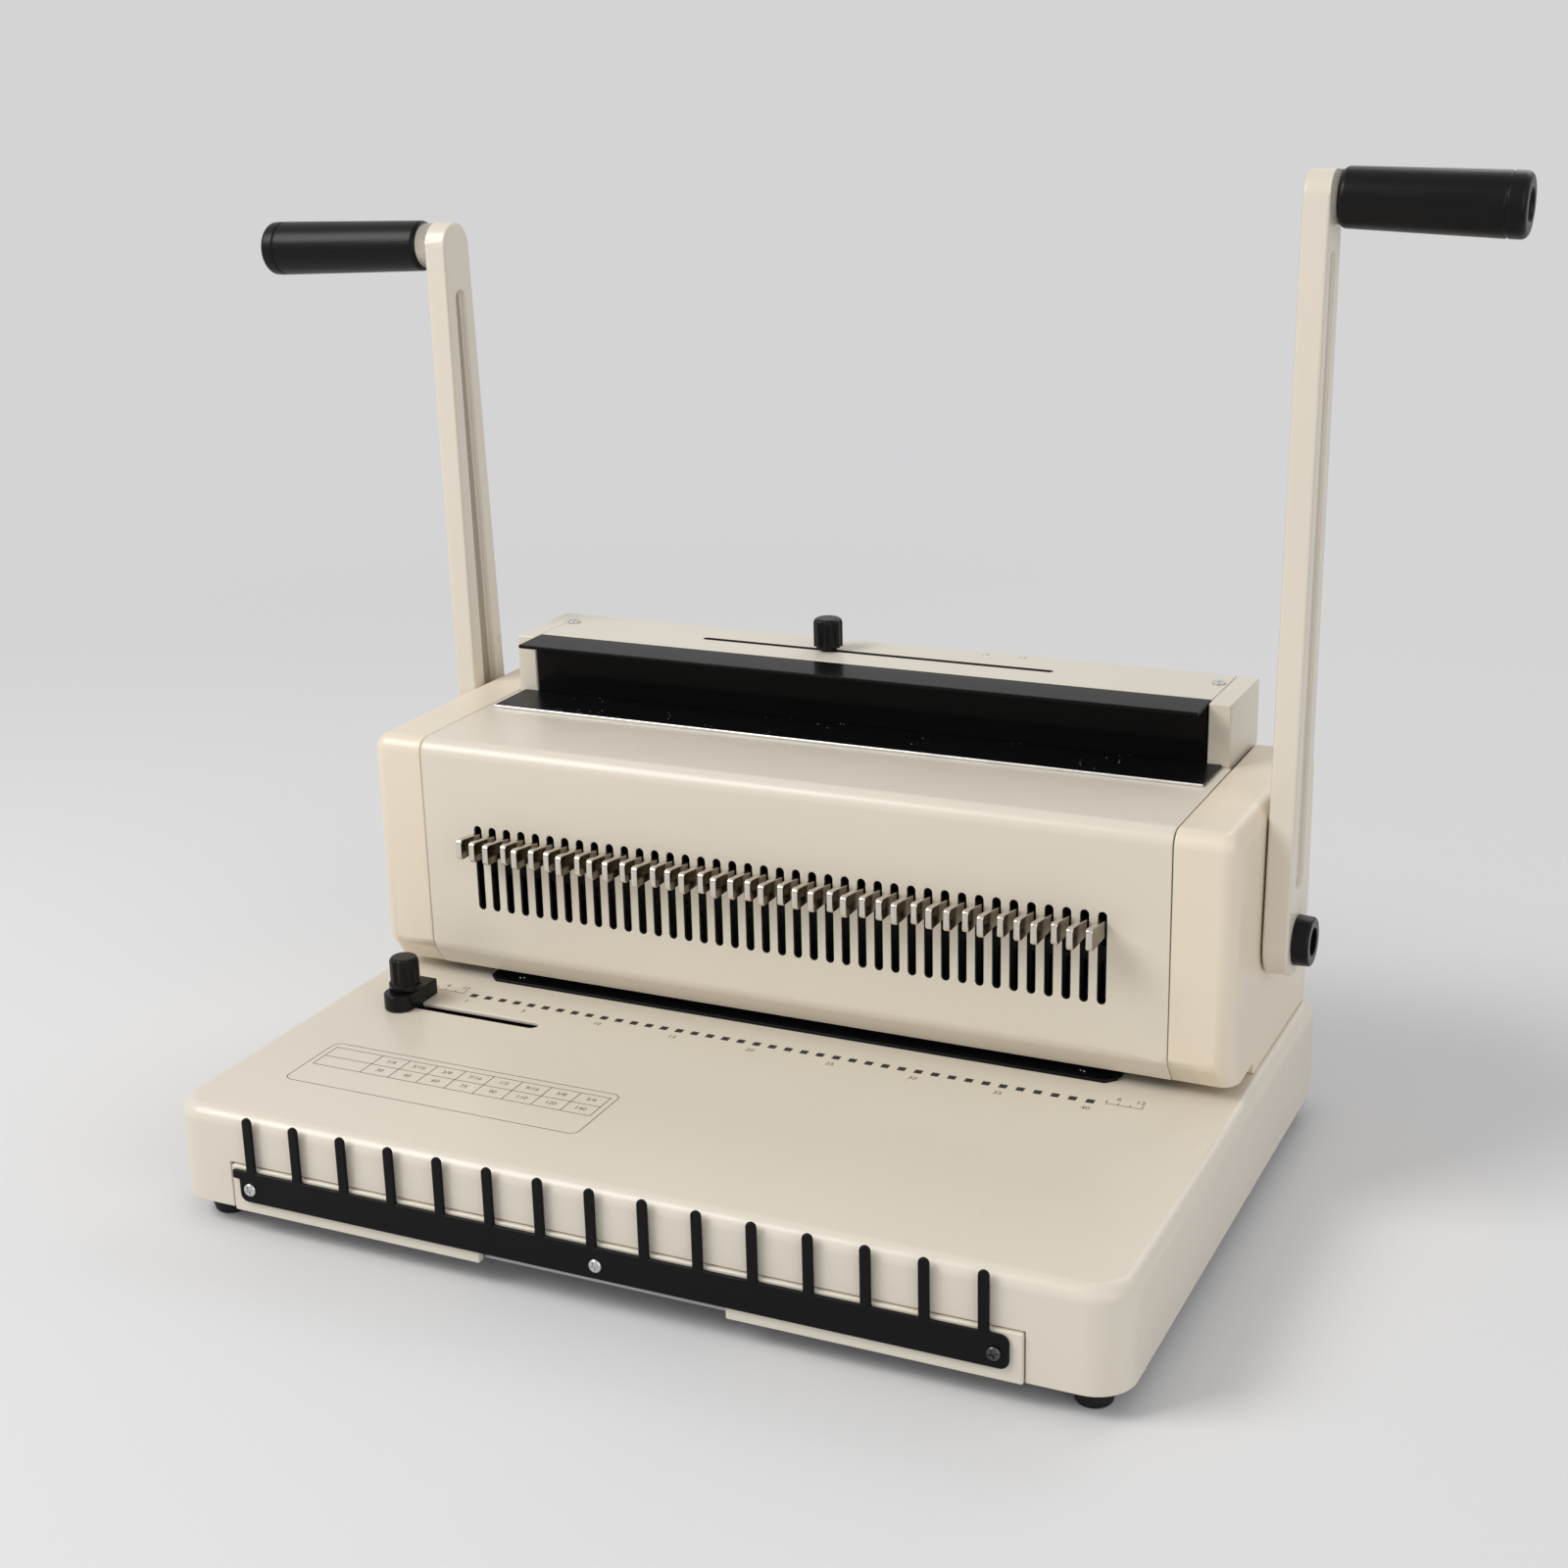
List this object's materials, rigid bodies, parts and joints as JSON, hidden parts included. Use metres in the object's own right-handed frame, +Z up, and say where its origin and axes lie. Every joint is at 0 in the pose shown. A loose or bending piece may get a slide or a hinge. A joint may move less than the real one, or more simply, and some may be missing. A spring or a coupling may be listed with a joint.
{
  "type": "wire binding machine",
  "caption": "Desk machine that punches a row of square holes in paper and closes wire loops, with a lever on each side, pull tabs, a chip drawer, a margin guide and a comb rack.",
  "frame": {"origin": "middle of the whole object's footprint box, at the level of the feet", "axes": "+X to the right along the hole row, +Y from the user to the back, +Z up"},
  "size_m": [0.6646, 0.33, 0.4695],
  "materials": {
    "cream_paint": "satin powder coat, warm cream",
    "cover_plastic": "moulded plastic, slightly yellowed cream",
    "black_paint": "satin black",
    "black_plastic": "moulded, semi-matt",
    "grip_plastic": "soft sheen",
    "rubber": "matt",
    "bright_steel": "nickel plated, lightly worn",
    "screw_steel": "zinc plated",
    "frame_steel": "bare mild steel",
    "tool_steel": "black oxide, oiled",
    "shaft_steel": "ground",
    "bush_brass": "oiled"
  },
  "bodies": {
    "base": {"base_shell": "cream_paint", "front_panel": "cream_paint", "rear_cover": "cream_paint", "rear_end_left": "cream_paint", "rear_end_right": "cream_paint", "side_cover_left": "cover_plastic", "side_cover_right": "cover_plastic", "anvil_plate": "black_paint", "die_plate": "black_paint", "feet": "rubber", "lid_screws": "screw_steel", "foot_screws": "screw_steel", "frame_screws": "screw_steel", "bottom_plate": "frame_steel", "frame_left": "frame_steel", "frame_right": "frame_steel", "anvil_beam": "frame_steel", "punch_guide": "frame_steel", "paper_stop": "frame_steel", "spring_beam": "frame_steel", "drawer_runners": "frame_steel", "guide_rods": "shaft_steel", "ram_springs": "shaft_steel", "jaw_springs": "shaft_steel", "punch_bushes": "bush_brass", "press_bushes": "bush_brass"},
    "punch_handle": {"punch_shaft": "shaft_steel", "punch_pinions": "tool_steel", "punch_arm": "cream_paint", "punch_hub_cap": "black_plastic", "punch_grip_stud": "shaft_steel", "punch_grip": "grip_plastic"},
    "punch_ram": {"ram_bar": "tool_steel", "lifter_bar": "tool_steel", "ram_racks": "tool_steel", "punch_pins": "tool_steel", "pull_tabs": "bright_steel"},
    "press_handle": {"press_shaft": "shaft_steel", "press_pinions": "tool_steel", "press_arm": "cream_paint", "press_hub_cap": "black_plastic", "press_grip_stud": "shaft_steel", "press_grip": "grip_plastic"},
    "press_jaw_body": {"press_jaw": "black_paint", "jaw_racks": "tool_steel"},
    "size_carriage": {"size_block": "frame_steel"},
    "size_knob_body": {"size_knob": "black_plastic"},
    "margin_guide": {"margin_block": "black_plastic", "margin_nut": "frame_steel"},
    "margin_knob_body": {"margin_knob": "black_plastic"},
    "chip_drawer": {"chip_tray": "frame_steel", "drawer_front": "cream_paint", "comb_rack": "black_paint", "comb_screws": "screw_steel"},
    "tab_left_1_body": {"tab_left_1": "bright_steel"},
    "tab_left_2_body": {"tab_left_2": "bright_steel"},
    "tab_left_3_body": {"tab_left_3": "bright_steel"},
    "tab_right_1_body": {"tab_right_1": "bright_steel"},
    "tab_right_2_body": {"tab_right_2": "bright_steel"},
    "tab_right_3_body": {"tab_right_3": "bright_steel"}
  },
  "joints": [
    {"name": "punch_handle_turn", "type": "hinge", "parent": "base", "child": "punch_handle", "pos_m": [0.01199, 0.075, 0.123], "axis": [1, 0, 0], "range_deg": [0, 90]},
    {"name": "punch_ram_slide", "type": "slide", "parent": "base", "child": "punch_ram", "axis": [0, 0, -1], "range_m": [0, 0.0236], "stiffness_N_per_m": 800, "springref_m": -0.06, "deforming": ["ram_springs"]},
    {"name": "press_handle_turn", "type": "hinge", "parent": "base", "child": "press_handle", "pos_m": [0.01199, 0.136, 0.09], "axis": [1, 0, 0], "range_deg": [0, 80]},
    {"name": "press_jaw_slide", "type": "slide", "parent": "base", "child": "press_jaw_body", "axis": [0, 0, -1], "range_m": [0, 0.0179], "stiffness_N_per_m": 600, "springref_m": -0.05, "deforming": ["jaw_springs"]},
    {"name": "size_carriage_slide", "type": "slide", "parent": "base", "child": "size_carriage", "axis": [1, 0, 0], "range_m": [-0.07, 0.12]},
    {"name": "size_knob_turn", "type": "hinge", "parent": "size_carriage", "child": "size_knob_body", "pos_m": [-0.01301, 0.141, 0.23], "axis": [0, 0, 1], "range_deg": [0, 180]},
    {"name": "margin_guide_slide", "type": "slide", "parent": "base", "child": "margin_guide", "axis": [1, 0, 0], "range_m": [0, 0.065]},
    {"name": "margin_knob_turn", "type": "hinge", "parent": "margin_guide", "child": "margin_knob_body", "pos_m": [-0.17999, -0.0195, 0.075], "axis": [0, 0, 1], "range_deg": [0, 180]},
    {"name": "chip_drawer_slide", "type": "slide", "parent": "base", "child": "chip_drawer", "axis": [0, -1, 0], "range_m": [0, 0.15]},
    {"name": "tab_left_1_pull", "type": "slide", "parent": "punch_ram", "child": "tab_left_1_body", "axis": [0, -1, 0], "range_m": [0, 0.014]},
    {"name": "tab_left_2_pull", "type": "slide", "parent": "punch_ram", "child": "tab_left_2_body", "axis": [0, -1, 0], "range_m": [0, 0.014]},
    {"name": "tab_left_3_pull", "type": "slide", "parent": "punch_ram", "child": "tab_left_3_body", "axis": [0, -1, 0], "range_m": [0, 0.014]},
    {"name": "tab_right_1_pull", "type": "slide", "parent": "punch_ram", "child": "tab_right_1_body", "axis": [0, -1, 0], "range_m": [0, 0.014]},
    {"name": "tab_right_2_pull", "type": "slide", "parent": "punch_ram", "child": "tab_right_2_body", "axis": [0, -1, 0], "range_m": [0, 0.014]},
    {"name": "tab_right_3_pull", "type": "slide", "parent": "punch_ram", "child": "tab_right_3_body", "axis": [0, -1, 0], "range_m": [0, 0.014]}
  ],
  "couplings": [
    {"joint": "punch_ram_slide", "follows": "punch_handle_turn", "m_per_rad": 0.015},
    {"joint": "press_jaw_slide", "follows": "press_handle_turn", "m_per_rad": 0.01275}
  ]
}
